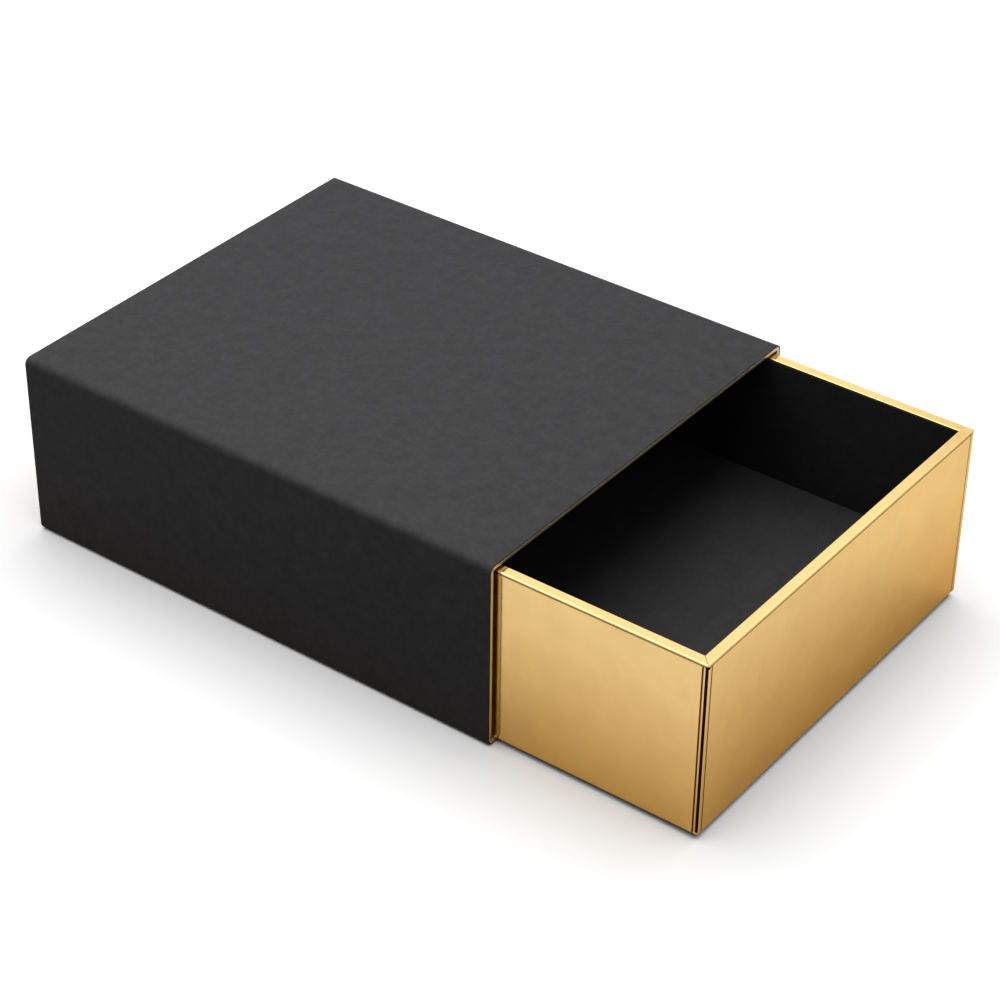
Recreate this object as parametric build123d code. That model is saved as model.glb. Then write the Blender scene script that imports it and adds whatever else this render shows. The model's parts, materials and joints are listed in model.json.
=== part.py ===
from build123d import *
import os

# Sliding drawer gift box: a black wrapped board sleeve, open at both ends, with a
# gold foil drawer inside it.  Millimetres, +Z up.  X is the width, the drawer opens
# towards -Y.  The origin is the centre of the sleeve's underside.

# --- sleeve ---
SLEEVE_WIDTH = 165.0
SLEEVE_LENGTH = 196.0
SLEEVE_HEIGHT = 70.0
SLEEVE_BOARD = 1.2         # greyboard of the sleeve
SLEEVE_CARD = 0.5          # black card wrapped over the boards
SLEEVE_FOIL = 0.2          # gold paper that lines the inside and covers the board ends
SLEEVE_EDGE_RADIUS = 2.5   # rounding of the long outer edges
MOUTH_CORNER_RADIUS = 0.6  # rounding of the lining in its inner corners
SLEEVE_TURN_UNDER = 18.0   # width of the wrap's two strips under the bottom
TAPE_THICKNESS = 0.15      # paper tape that joins the boards, pressed into their faces
SLEEVE_TAPE_WIDTH = 14.0   # each leg of a sleeve tape

# --- running clearance between drawer and sleeve ---
SIDE_GAP = 1.2
TOP_GAP = 0.7
GLIDE_GAP = 0.3            # air under the drawer
BACK_MARGIN = 1.0          # how much shorter the drawer is than the sleeve
DRAWER_OUT = 77.0          # how far the drawer stands out at rest

# --- drawer ---
DRAWER_BOARD = 2.9         # greyboard of the walls
BASE_BOARD = 2.0           # greyboard of the bottom
DRAWER_CARD = 0.45         # gold foil card folded over the walls
DRAWER_TURN_UNDER = 15.0   # width of the strips that each wall's card turns under
RIM_SHOULDER_RADIUS = 0.8  # outer edge of the rim
RIM_INNER_RADIUS = 0.3     # inner edge of the rim
FOOT_RADIUS = 0.5          # fold at the drawer's bottom edge
CREASE_DROP = 1.5          # pressed line below the rim
CREASE_INSET = 1.6         # pressed line beside each upright corner
CREASE_RADIUS = 0.3        # half-round section of the pressed lines
CREASE_DEPTH = 0.22
CORNER_SLIT = 0.8          # open slit between two walls at an upright corner
CORNER_SLIT_DEPTH = 3.0
SLIT_BELOW_RIM = 1.3       # the rim's mitre closes over the slit
SLIT_ABOVE_FOOT = 1.0      # and the foot's fold closes it below
MITRE_SEAM = 0.1           # hairline where two mitred pieces meet
SHEET_SEAM = 0.2           # hairline round a pasted sheet

# --- black lining and raised floor ---
LINING_CARD = 0.3
LINING_DROP = 0.6          # gold left showing inside, under the rim
STAY_THICKNESS = 0.15      # paper stay in each inner corner
STAY_WIDTH = 14.0
STAY_BELOW_RIM = 8.0
RISER_HEIGHT = 14.5
RISER_THICKNESS = 3.0
FLOOR_BOARD = 1.5
FLOOR_PAPER = 0.25
FLOOR_GAP = 0.3            # air round the raised floor
FLOOR_EDGE_RADIUS = 0.5

# --- sizes that follow from those ---
SLEEVE_WALL = SLEEVE_CARD + SLEEVE_BOARD + SLEEVE_FOIL
BOARDS_WIDTH = SLEEVE_WIDTH - 2 * SLEEVE_CARD
BOARDS_HEIGHT = SLEEVE_HEIGHT - 2 * SLEEVE_CARD
BOARDS_LENGTH = SLEEVE_LENGTH - 2 * SLEEVE_FOIL
BOARDS_RADIUS = SLEEVE_EDGE_RADIUS - SLEEVE_CARD
MID_HEIGHT = SLEEVE_HEIGHT / 2

DRAWER_WIDTH = SLEEVE_WIDTH - 2 * (SLEEVE_WALL + SIDE_GAP)
DRAWER_LENGTH = SLEEVE_LENGTH - BACK_MARGIN
DRAWER_FRONT = -SLEEVE_LENGTH / 2 - DRAWER_OUT
DRAWER_BACK = DRAWER_FRONT + DRAWER_LENGTH
DRAWER_MIDDLE = (DRAWER_FRONT + DRAWER_BACK) / 2
DRAWER_BOTTOM = SLEEVE_WALL + GLIDE_GAP
DRAWER_TOP = SLEEVE_HEIGHT - SLEEVE_WALL - TOP_GAP
DRAWER_WALL = 2 * DRAWER_CARD + DRAWER_BOARD
BOARD_FOOT = DRAWER_BOTTOM + DRAWER_CARD
BASE_TOP = BOARD_FOOT + BASE_BOARD
FLOOR_UNDERSIDE = BASE_TOP + RISER_HEIGHT
DIAGONAL = 2 ** 0.5
PAST_FACE = 1.0            # how far a cutting solid runs past the face it cuts


def block(x, y, z):
    """A box between two numbers along each axis."""
    size = (x[1] - x[0], y[1] - y[0], z[1] - z[0])
    middle = ((x[0] + x[1]) / 2, (y[0] + y[1]) / 2, (z[0] + z[1]) / 2)
    return Pos(*middle) * Box(*size)


# ---------------------------------------------------------------- sleeve

def tunnel(width, height, radius, length):
    """A solid bar with the sleeve's cross-section, lying along Y and centred on it."""
    section = RectangleRounded(width, height, radius) if radius > 0 else Rectangle(width, height)
    bar = extrude(Plane.XZ * section, length / 2, both=True)
    return Pos(0, 0, MID_HEIGHT) * bar


def mitre_wedge(side):
    """The part of the boards' section that belongs to one side, cut on the corners' mitres."""
    half_w = BOARDS_WIDTH / 2
    half_h = BOARDS_HEIGHT / 2
    in_w = half_w - SLEEVE_BOARD
    in_h = half_h - SLEEVE_BOARD
    corners = {
        "top": [(-half_w, half_h), (half_w, half_h), (in_w, in_h), (-in_w, in_h)],
        "bottom": [(-half_w, -half_h), (half_w, -half_h), (in_w, -in_h), (-in_w, -in_h)],
        "left": [(-half_w, -half_h), (-half_w, half_h), (-in_w, in_h), (-in_w, -in_h)],
        "right": [(half_w, -half_h), (half_w, half_h), (in_w, in_h), (in_w, -in_h)],
    }
    section = make_face(Polyline(*corners[side], close=True))
    wedge = extrude(Plane.XZ * section, BOARDS_LENGTH / 2, both=True)
    return Pos(0, 0, MID_HEIGHT) * wedge


def sleeve_tape(across, up):
    """One L-shaped tape, pressed flush into the outside of the boards along a long edge."""
    outside = tunnel(BOARDS_WIDTH, BOARDS_HEIGHT, BOARDS_RADIUS, BOARDS_LENGTH)
    inside = tunnel(
        BOARDS_WIDTH - 2 * TAPE_THICKNESS,
        BOARDS_HEIGHT - 2 * TAPE_THICKNESS,
        BOARDS_RADIUS - TAPE_THICKNESS,
        BOARDS_LENGTH + 2 * PAST_FACE,
    )
    edge_x = across * BOARDS_WIDTH / 2
    edge_z = MID_HEIGHT + up * BOARDS_HEIGHT / 2
    x = sorted((edge_x, edge_x - across * SLEEVE_TAPE_WIDTH))
    z = sorted((edge_z, edge_z - up * SLEEVE_TAPE_WIDTH))
    corner = block(x, (-SLEEVE_LENGTH / 2, SLEEVE_LENGTH / 2), z)
    return (outside - inside) & corner


def sleeve_board(side, tapes):
    """One greyboard panel of the sleeve, with the tapes' beds pressed into it."""
    outside = tunnel(BOARDS_WIDTH, BOARDS_HEIGHT, BOARDS_RADIUS, BOARDS_LENGTH)
    board = mitre_wedge(side) & outside
    for tape in tapes:
        board = board - tape
    return board


def base_sheet_space(seam):
    """The middle of the underside, between the wrap's two turned-under strips."""
    half = SLEEVE_WIDTH / 2 - SLEEVE_TURN_UNDER - seam
    reach = SLEEVE_LENGTH / 2
    return block((-half, half), (-reach, reach), (0, SLEEVE_CARD))


def sleeve_wrap():
    """Black card round the top, the sides and a strip of the underside."""
    outside = tunnel(SLEEVE_WIDTH, SLEEVE_HEIGHT, SLEEVE_EDGE_RADIUS, SLEEVE_LENGTH)
    inside = tunnel(BOARDS_WIDTH, BOARDS_HEIGHT, BOARDS_RADIUS, SLEEVE_LENGTH + 2 * PAST_FACE)
    return outside - inside - base_sheet_space(0)


def sleeve_lining():
    """Gold paper tube inside the boards, turned over their ends at both mouths."""
    outer = tunnel(
        BOARDS_WIDTH - 2 * SLEEVE_BOARD, BOARDS_HEIGHT - 2 * SLEEVE_BOARD, 0, SLEEVE_LENGTH
    )
    mouth = tunnel(
        BOARDS_WIDTH - 2 * (SLEEVE_BOARD + SLEEVE_FOIL),
        BOARDS_HEIGHT - 2 * (SLEEVE_BOARD + SLEEVE_FOIL),
        MOUTH_CORNER_RADIUS,
        SLEEVE_LENGTH + 2 * PAST_FACE,
    )
    ends = tunnel(BOARDS_WIDTH, BOARDS_HEIGHT, BOARDS_RADIUS, SLEEVE_LENGTH)
    ends = ends - block(
        (-SLEEVE_WIDTH, SLEEVE_WIDTH), (-BOARDS_LENGTH / 2, BOARDS_LENGTH / 2), (0, SLEEVE_HEIGHT)
    )
    return (outer + ends) - mouth


# ---------------------------------------------------------------- drawer walls
# Each wall is drawn lying along local X, with its outer face at local Y = 0 and its
# thickness towards +Y, and is then turned into its place.

def trapezoid(length, depth, setback, z):
    """A plan mitred at both ends; setback is measured square to the mitre."""
    shift = setback * DIAGONAL
    near = length / 2 - shift
    far = near - depth
    plan = make_face(Polyline((-near, 0), (near, 0), (far, depth), (-far, depth), close=True))
    return extrude(Pos(0, 0, z[0]) * plan, z[1] - z[0])


def wall_section():
    """The wrapped wall in section, with its turned-under strip, its rounded rim and its crease."""
    top = DRAWER_TOP - DRAWER_BOTTOM
    outline = Polyline(
        (0, 0),
        (DRAWER_TURN_UNDER, 0),
        (DRAWER_TURN_UNDER, DRAWER_CARD),
        (DRAWER_WALL, DRAWER_CARD),
        (DRAWER_WALL, top),
        (0, top),
        close=True,
    )
    section = make_face(outline)
    rounded_corners = (
        ((0, 0), FOOT_RADIUS),
        ((0, top), RIM_SHOULDER_RADIUS),
        ((DRAWER_WALL, top), RIM_INNER_RADIUS),
    )
    for corner, radius in rounded_corners:
        vertex = section.vertices().sort_by_distance(corner)[0]
        section = fillet(vertex, radius)
    crease = Pos(CREASE_DEPTH - CREASE_RADIUS, top - CREASE_DROP) * Circle(CREASE_RADIUS)
    return section - crease


def wrapped_wall(length):
    """The wall's whole outside shape: card and board together, mitred at both ends."""
    section = Plane.YZ * wall_section()
    bar = Pos(0, 0, DRAWER_BOTTOM) * extrude(section, length / 2, both=True)
    plan = trapezoid(length, DRAWER_TURN_UNDER, MITRE_SEAM / 2, (DRAWER_BOTTOM, DRAWER_TOP))
    return bar & plan


def wall_board(length):
    """The greyboard core, set back from the mitre so that the card can turn round its end."""
    core = trapezoid(
        length - 2 * DRAWER_CARD,
        DRAWER_BOARD,
        CORNER_SLIT / 2 + DRAWER_CARD,
        (BOARD_FOOT, DRAWER_TOP - DRAWER_CARD),
    )
    return Pos(0, DRAWER_CARD, 0) * core


def corner_slit(length, end):
    """The open slit at one upright corner, a bar lying on the mitre."""
    half = CORNER_SLIT / 2
    bar = block(
        (-CORNER_SLIT_DEPTH, CORNER_SLIT_DEPTH),
        (-half, half),
        (DRAWER_BOTTOM + SLIT_ABOVE_FOOT, DRAWER_TOP - SLIT_BELOW_RIM),
    )
    return Pos(end * length / 2, 0, 0) * Rot(0, 0, -45 * end) * bar


def upright_crease(length, end):
    """The pressed line beside an upright corner, from the foot to the crease below the rim."""
    height = DRAWER_TOP - CREASE_DROP - DRAWER_BOTTOM
    line = Pos(0, 0, height / 2) * Cylinder(CREASE_RADIUS, height)
    at_x = end * (length / 2 - CREASE_INSET)
    return Pos(at_x, CREASE_DEPTH - CREASE_RADIUS, DRAWER_BOTTOM) * line


def wall_wrap(length):
    """Gold foil card: the wrapped wall with its board, slits and upright creases taken out."""
    card = wrapped_wall(length) - wall_board(length)
    base_side = DRAWER_CARD + DRAWER_BOARD
    reach = length / 2
    card = card - block((-reach, reach), (base_side, length), (BOARD_FOOT, BASE_TOP))
    for end in (-1, 1):
        card = card - corner_slit(length, end)
        card = card - upright_crease(length, end)
    return card


def wall_lining(length):
    """Black card over the wall's inner face, mitred like the wall."""
    inside = trapezoid(
        length - 2 * DRAWER_WALL, LINING_CARD, MITRE_SEAM / 2, (BASE_TOP, DRAWER_TOP - LINING_DROP)
    )
    return Pos(0, DRAWER_WALL, 0) * inside


WALLS = {
    "front": (DRAWER_WIDTH, Pos(0, DRAWER_FRONT, 0)),
    "back": (DRAWER_WIDTH, Pos(0, DRAWER_BACK, 0) * Rot(0, 0, 180)),
    "left": (DRAWER_LENGTH, Pos(-DRAWER_WIDTH / 2, DRAWER_MIDDLE, 0) * Rot(0, 0, -90)),
    "right": (DRAWER_LENGTH, Pos(DRAWER_WIDTH / 2, DRAWER_MIDDLE, 0) * Rot(0, 0, 90)),
}


# ---------------------------------------------------------------- drawer inside

def drawer_space(inset, z):
    """A box inside the drawer, a given distance in from its outer faces."""
    half = DRAWER_WIDTH / 2 - inset
    return block((-half, half), (DRAWER_FRONT + inset, DRAWER_BACK - inset), z)


def drawer_base_board():
    return drawer_space(DRAWER_CARD + DRAWER_BOARD, (BOARD_FOOT, BASE_TOP))


def drawer_base_sheet():
    return drawer_space(DRAWER_TURN_UNDER + SHEET_SEAM, (DRAWER_BOTTOM, BOARD_FOOT))


def drawer_stay(across, along):
    """L-shaped paper stay in an inner corner, between the wrapped walls and the lining."""
    z = (BASE_TOP, DRAWER_TOP - STAY_BELOW_RIM)
    ring = drawer_space(DRAWER_WALL, z) - drawer_space(DRAWER_WALL + STAY_THICKNESS, z)
    corner_x = across * (DRAWER_WIDTH / 2 - DRAWER_WALL)
    corner_y = DRAWER_FRONT + DRAWER_WALL if along < 0 else DRAWER_BACK - DRAWER_WALL
    x = sorted((corner_x, corner_x - across * STAY_WIDTH))
    y = sorted((corner_y, corner_y - along * STAY_WIDTH))
    return ring & block(x, y, z)


def floor_riser(side):
    """A board strip on edge that carries one side of the raised floor."""
    inset = DRAWER_WALL + LINING_CARD
    half = DRAWER_WIDTH / 2 - inset
    front = DRAWER_FRONT + inset
    back = DRAWER_BACK - inset
    z = (BASE_TOP, FLOOR_UNDERSIDE)
    between = (front + RISER_THICKNESS, back - RISER_THICKNESS)
    strips = {
        "front": ((-half, half), (front, front + RISER_THICKNESS)),
        "back": ((-half, half), (back - RISER_THICKNESS, back)),
        "left": ((-half, RISER_THICKNESS - half), between),
        "right": ((half - RISER_THICKNESS, half), between),
    }
    x, y = strips[side]
    return block(x, y, z)


def floor_board():
    inset = DRAWER_WALL + LINING_CARD + FLOOR_GAP + FLOOR_PAPER
    return drawer_space(inset, (FLOOR_UNDERSIDE, FLOOR_UNDERSIDE + FLOOR_BOARD))


def floor_cover():
    """Black paper over the floor board's top and turned down its edges."""
    inset = DRAWER_WALL + LINING_CARD + FLOOR_GAP
    whole = drawer_space(inset, (FLOOR_UNDERSIDE, FLOOR_UNDERSIDE + FLOOR_BOARD + FLOOR_PAPER))
    top_edges = whole.edges().group_by(Axis.Z)[-1]
    return fillet(top_edges, FLOOR_EDGE_RADIUS) - floor_board()


# ---------------------------------------------------------------- all pieces

def sleeve_pieces():
    pieces = {}
    tapes = []
    for up, level in ((1, "top"), (-1, "bottom")):
        for across, hand in ((-1, "left"), (1, "right")):
            tape = sleeve_tape(across, up)
            pieces[f"sleeve_tape_{level}_{hand}"] = tape
            tapes.append(tape)
    for side in ("top", "bottom", "left", "right"):
        pieces[f"sleeve_{side}_board"] = sleeve_board(side, tapes)
    pieces["sleeve_wrap"] = sleeve_wrap()
    pieces["sleeve_base_sheet"] = base_sheet_space(SHEET_SEAM)
    pieces["sleeve_lining"] = sleeve_lining()
    return pieces


def drawer_pieces():
    pieces = {}
    stays = []
    for along, depth in ((-1, "front"), (1, "back")):
        for across, hand in ((-1, "left"), (1, "right")):
            stay = drawer_stay(across, along)
            pieces[f"drawer_stay_{depth}_{hand}"] = stay
            stays.append(stay)
    for side, (length, place) in WALLS.items():
        pieces[f"drawer_{side}_board"] = place * wall_board(length)
        pieces[f"drawer_{side}_wrap"] = place * wall_wrap(length)
        lining = place * wall_lining(length)
        for stay in stays:
            lining = lining - stay
        pieces[f"drawer_{side}_lining"] = lining
        pieces[f"floor_riser_{side}"] = floor_riser(side)
    pieces["drawer_base_board"] = drawer_base_board()
    pieces["drawer_base_sheet"] = drawer_base_sheet()
    pieces["floor_board"] = floor_board()
    pieces["floor_cover"] = floor_cover()
    return pieces


os.makedirs("parts", exist_ok=True)
for name, piece in {**sleeve_pieces(), **drawer_pieces()}.items():
    export_step(piece, f"parts/{name}.step")
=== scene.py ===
# %% [markdown]
# # A sliding drawer gift box
# A rigid gift box is greyboard dressed in paper. This one is a black sleeve, open at both
# ends, round a gold foil drawer with a black inside. The boards, tapes, stays and risers
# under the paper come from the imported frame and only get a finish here. Every paper that
# the eye meets is made in this file, to the frame's own sizes, with the folds, pressed
# lines and seams that the real paper has.

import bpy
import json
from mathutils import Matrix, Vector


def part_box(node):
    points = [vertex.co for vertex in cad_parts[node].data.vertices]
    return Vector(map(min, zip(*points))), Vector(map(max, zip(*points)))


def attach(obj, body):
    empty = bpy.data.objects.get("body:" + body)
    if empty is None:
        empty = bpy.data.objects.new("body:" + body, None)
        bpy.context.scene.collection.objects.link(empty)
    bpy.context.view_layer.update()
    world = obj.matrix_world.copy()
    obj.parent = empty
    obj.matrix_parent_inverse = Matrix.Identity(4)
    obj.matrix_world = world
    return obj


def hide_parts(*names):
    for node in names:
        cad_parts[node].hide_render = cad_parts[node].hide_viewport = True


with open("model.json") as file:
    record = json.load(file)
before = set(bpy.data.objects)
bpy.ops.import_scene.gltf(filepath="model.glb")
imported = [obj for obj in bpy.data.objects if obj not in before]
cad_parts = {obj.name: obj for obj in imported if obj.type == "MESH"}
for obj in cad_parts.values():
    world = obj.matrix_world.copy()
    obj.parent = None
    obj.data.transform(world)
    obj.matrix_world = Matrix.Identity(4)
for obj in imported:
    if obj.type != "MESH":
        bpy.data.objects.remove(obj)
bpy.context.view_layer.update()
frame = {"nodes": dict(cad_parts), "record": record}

# %% [markdown]
# NumPy does the sums on whole sheets of points at once. Blender counts in metres, and a box
# like this is thought of in millimetres, so one millimetre gets a name.

# %% The other libraries
import json
import math

import bpy
import numpy as np
from mathutils import Matrix, Vector

MM = 0.001
print("one millimetre in Blender's units:", MM)

# %% [markdown]
# ## Sizes
# Nothing is measured twice. The frame already knows how wide the sleeve is and how thick
# its card, board and foil are, because each of them is a node with a box. Only what no box
# can tell, such as the radius of a fold, is written here as a real size.

# %% Sizes read from the frame
sleeve_low, sleeve_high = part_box("sleeve_wrap")
sleeve_width = sleeve_high.x - sleeve_low.x
sleeve_height = sleeve_high.z
sleeve_reach = sleeve_high.y
top_board_low, top_board_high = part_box("sleeve_top_board")
sleeve_card = sleeve_high.z - top_board_high.z
sleeve_board = top_board_high.z - top_board_low.z
sleeve_foil = sleeve_reach - top_board_high.y
sleeve_wall = sleeve_card + sleeve_board + sleeve_foil
base_sheet_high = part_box("sleeve_base_sheet")[1]

drawer_low, front_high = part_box("drawer_front_wrap")
drawer_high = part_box("drawer_back_wrap")[1]
drawer_width = drawer_high.x - drawer_low.x
drawer_length = drawer_high.y - drawer_low.y
turn_under = front_high.y - drawer_low.y
front_board_low, front_board_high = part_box("drawer_front_board")
drawer_card = front_board_low.y - drawer_low.y
drawer_board = front_board_high.y - front_board_low.y
drawer_wall = 2 * drawer_card + drawer_board
base_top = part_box("drawer_base_board")[1].z
front_lining_low, front_lining_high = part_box("drawer_front_lining")
lining_card = front_lining_high.y - front_lining_low.y
stay_low, stay_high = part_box("drawer_stay_front_left")
print("sleeve", [round(v / MM, 2) for v in (sleeve_width, 2 * sleeve_reach, sleeve_height)],
      "wall", round(sleeve_wall / MM, 2))
print("drawer", [round(v / MM, 2) for v in (drawer_width, drawer_length, drawer_high.z)],
      "wall", round(drawer_wall / MM, 2))

# %% [markdown]
# ## A way to make paper
# A folded sheet is hard to draw point by point, but easy as cells. Take three lists of
# levels, close together where the paper bends and far apart where it lies flat. They cut
# space into small cells. Say which cells are paper, and the skin between paper and air is a
# closed mesh with no stray faces, whatever slits and hollows it has. A second step bends
# that skin into its real folds. The same two steps make every paper of the box.

# %% Levels for a grid
def levels(marks, longest):
    """The marks in order, with even steps between them that are no longer than the longest."""
    marks = sorted(set(round(float(m), 7) for m in marks))
    steps = [marks[0]]
    for low, high in zip(marks, marks[1:]):
        parts = max(1, math.ceil((high - low) / longest - 0.001))
        steps += [low + (high - low) * k / parts for k in range(1, parts + 1)]
    return np.array(steps)


def fold_marks(radius, parts=4):
    """Distances from a square edge whose points share a fold's turn evenly once it is rounded."""
    return [radius * (1 - math.tan(math.pi / 4 * k / parts)) for k in range(parts + 1)]


print("marks for a 0.8 mm fold:", [round(m, 3) for m in fold_marks(0.8)])

# %% [markdown]
# A cell face belongs to the skin when there is paper on one side of it and air on the other.
# Looking along the three axes in turn finds them all, and the order of the four corners says
# which side is out.

# %% The skin of a set of cells
def cell_skin(x, y, z, is_paper):
    """Points and four-sided faces of the skin round all the cells that are paper."""
    middles = [(line[1:] + line[:-1]) / 2 for line in (x, y, z)]
    paper = np.pad(is_paper(*np.meshgrid(*middles, indexing="ij")), 1)
    number = np.arange(len(x) * len(y) * len(z)).reshape(len(x), len(y), len(z))
    faces = []
    for axis in range(3):
        order = (axis, (axis + 1) % 3, (axis + 2) % 3)
        cells = np.transpose(paper, order)[:, 1:-1, 1:-1]
        corner = np.transpose(number, order)
        around = [corner[:, :-1, :-1], corner[:, 1:, :-1], corner[:, 1:, 1:], corner[:, :-1, 1:]]
        quads = np.stack(around, axis=-1)
        faces.append(quads[cells[:-1] & ~cells[1:]])
        faces.append(quads[~cells[:-1] & cells[1:]][:, ::-1])
    used, faces = np.unique(np.concatenate(faces), return_inverse=True)
    points = np.stack(np.meshgrid(x, y, z, indexing="ij"), axis=-1).reshape(-1, 3)
    return points[used], faces.reshape(-1, 4)


two_cells = (np.arange(3.0), np.arange(2.0), np.arange(2.0))
block_faces = cell_skin(*two_cells, lambda x, y, z: np.full(x.shape, True))[1]
print("faces round two cells in a row:", len(block_faces))

# %% [markdown]
# A piece of paper becomes a mesh object that stands for the node of the same name. Folds are
# smooth and cut edges are crisp, and a weighted-normal modifier keeps the light even on the
# flat panels between them. How hard the card is creased is stored on its points, and the
# foil's finish paints a dark brown there: painted shade of the groove, with some of the
# foil's own darkening at the fold.

# %% Turn a skin into a piece
cut_angle = math.radians(40)


def make_piece(name, points, faces, body, finish, pressed_and_shaded=None):
    """A paper that rides on a body of the frame and replaces the CAD node of its name.
    The last argument says how hard each point is creased, from 0 to 1, which also sets how
    much painted crease shade the finish puts there."""
    mesh = bpy.data.meshes.new(name + "_mesh")
    mesh.from_pydata(points.tolist(), [], faces.tolist())
    # The crease weights go on the points, and the foil card's finish paints crease shade by them.
    if pressed_and_shaded is not None:
        crease = mesh.attributes.new("pressed_and_shaded", "FLOAT", "POINT")
        crease.data.foreach_set("value", pressed_and_shaded.astype(np.float32))
    mesh.shade_smooth()
    mesh.set_sharp_from_angle(angle=cut_angle)
    mesh.validate()
    piece = bpy.data.objects.new(name + "_paper", mesh)
    bpy.context.scene.collection.objects.link(piece)
    mesh.materials.append(finish)
    even = piece.modifiers.new("flat panels stay flat", "WEIGHTED_NORMAL")
    even.keep_sharp = True
    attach(piece, body)
    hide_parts(name)
    print(name, "faces:", len(mesh.polygons))


print("edges that turn more than this stay crisp, in degrees:", round(math.degrees(cut_angle)))

# %% [markdown]
# ## Rounding an edge
# On a grid, an edge is square. To round it, look at the small square next to the edge and
# squeeze it into a quarter circle: each point keeps its direction from the square's far
# corner, and its longer side becomes its distance. Points elsewhere don't move, so the
# same rule serves a fold, a cut edge and the lip of a slit.

# %% Helpers that round edges
hairline = 1e-7


def squeeze(across, down, radius, where=True):
    """Rounds the edge where two skins meet. Across and down are distances from that edge
    along the two skins. Both come back changed inside the small square next to it."""
    u = across - radius
    v = down - radius
    inside = (u < 0) & (v < 0) & (across > -hairline) & (down > -hairline) & where
    longer = np.maximum(np.abs(u), np.abs(v))
    ratio = np.where(inside, longer / np.maximum(np.hypot(u, v), 1e-12), 1.0)
    return radius + u * ratio, radius + v * ratio


def same(values, level):
    """True where a value lies on that level."""
    return np.abs(values - level) < hairline


def ripple(a, b, seed):
    """A slow unevenness between -1 and 1, as glued paper has. It adds three waves of unlike
    lengths, so there are no random numbers in it."""
    waves = (
        np.sin(a / (11 * MM) + 1.7 * seed) * np.sin(b / (17 * MM) + 0.6 * seed)
        + np.sin(a / (23 * MM) - b / (29 * MM) + 2.3 * seed)
        + 0.6 * np.sin(a / (6 * MM) + b / (9 * MM) + 0.9 * seed)
    )
    return waves / 2.6


corner_moved = squeeze(np.zeros(1), np.zeros(1), 1.0)[0][0]
print("a square corner rounded by 1 moves in along each side by:", round(float(corner_moved), 3))

# %% [markdown]
# ## Finishes
# All colour and grain comes from noise in the object's own coordinates, in metres, so the
# grain keeps its real scale and moves with the drawer. Only the painted crease shade of the
# foil card comes from weights on its points instead. A small kit of node helpers keeps
# each recipe short. Values that are the same all over sit on the shader's own sockets.

# %% Node helpers
def new_finish(name, roughness, metallic=0.0, specular=0.5):
    """A material with one shader and the object's own coordinates ready to use."""
    finish = bpy.data.materials.new(name)
    finish.use_nodes = True
    tree = finish.node_tree
    shader = tree.nodes["Principled BSDF"]
    shader.inputs["Roughness"].default_value = roughness
    shader.inputs["Metallic"].default_value = metallic
    shader.inputs["Specular IOR Level"].default_value = specular
    place = tree.nodes.new("ShaderNodeTexCoord").outputs["Object"]
    return finish, tree, shader, place


def noise(tree, place, grain, stretch=(1, 1, 1), detail=3.0, roughness=0.55):
    """Noise whose lumps are about one grain across, longer where stretch is above 1."""
    mapping = tree.nodes.new("ShaderNodeMapping")
    mapping.inputs["Scale"].default_value = [1 / (grain * s) for s in stretch]
    tree.links.new(place, mapping.inputs["Vector"])
    texture = tree.nodes.new("ShaderNodeTexNoise")
    texture.inputs["Scale"].default_value = 1.0
    texture.inputs["Detail"].default_value = detail
    texture.inputs["Roughness"].default_value = roughness
    tree.links.new(mapping.outputs["Vector"], texture.inputs["Vector"])
    return texture.outputs["Fac"]


def between(tree, factor, low, high, contrast=(0.3, 0.7)):
    """The noise turned into a value from low to high."""
    node = tree.nodes.new("ShaderNodeMapRange")
    node.inputs["From Min"].default_value = contrast[0]
    node.inputs["From Max"].default_value = contrast[1]
    node.inputs["To Min"].default_value = low
    node.inputs["To Max"].default_value = high
    tree.links.new(factor, node.inputs["Value"])
    return node.outputs["Result"]


def blend_colours(tree, factor, first, second):
    """A colour between two, by a factor that changes over the surface. Each of the two is
    three numbers or the output of another node."""
    node = tree.nodes.new("ShaderNodeMix")
    node.data_type = "RGBA"
    tree.links.new(factor, node.inputs["Factor"])
    for colour, socket in ((first, node.inputs["A"]), (second, node.inputs["B"])):
        if isinstance(colour, tuple):
            socket.default_value = (*colour, 1)
        else:
            tree.links.new(colour, socket)
    return node.outputs["Result"]


def combine(tree, operation, first, second):
    """One step of arithmetic on the output of a node and a number or another output."""
    node = tree.nodes.new("ShaderNodeMath")
    node.operation = operation
    tree.links.new(first, node.inputs[0])
    if isinstance(second, float):
        node.inputs[1].default_value = second
    else:
        tree.links.new(second, node.inputs[1])
    return node.outputs["Value"]


def raise_grain(tree, shader, heights, depth):
    """Adds up height maps and gives them to the shader as a bump of a real depth."""
    total = heights[0]
    for height in heights[1:]:
        total = combine(tree, "ADD", total, height)
    bump = tree.nodes.new("ShaderNodeBump")
    bump.inputs["Strength"].default_value = 1.0
    bump.inputs["Distance"].default_value = depth
    tree.links.new(total, bump.inputs["Height"])
    tree.links.new(bump.outputs["Normal"], shader.inputs["Normal"])


helpers = (new_finish, noise, between, blend_colours, combine, raise_grain)
print("node helpers:", [helper.__name__ for helper in helpers])

# %% [markdown]
# ### Black papers
# Soft-touch black card isn't evenly black: its fibres give a faint mottle, a few millimetres
# across and finer inside, and a tooth that only shows up close. It could be painted as an
# image, but noise has no seams at the folds. The lining is the same kind of paper but deeper,
# and the sheet on the floor is a little lighter and rougher.

# %% Black card, lining and floor paper
fine_share, coarse_share = 0.4, 0.6


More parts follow.
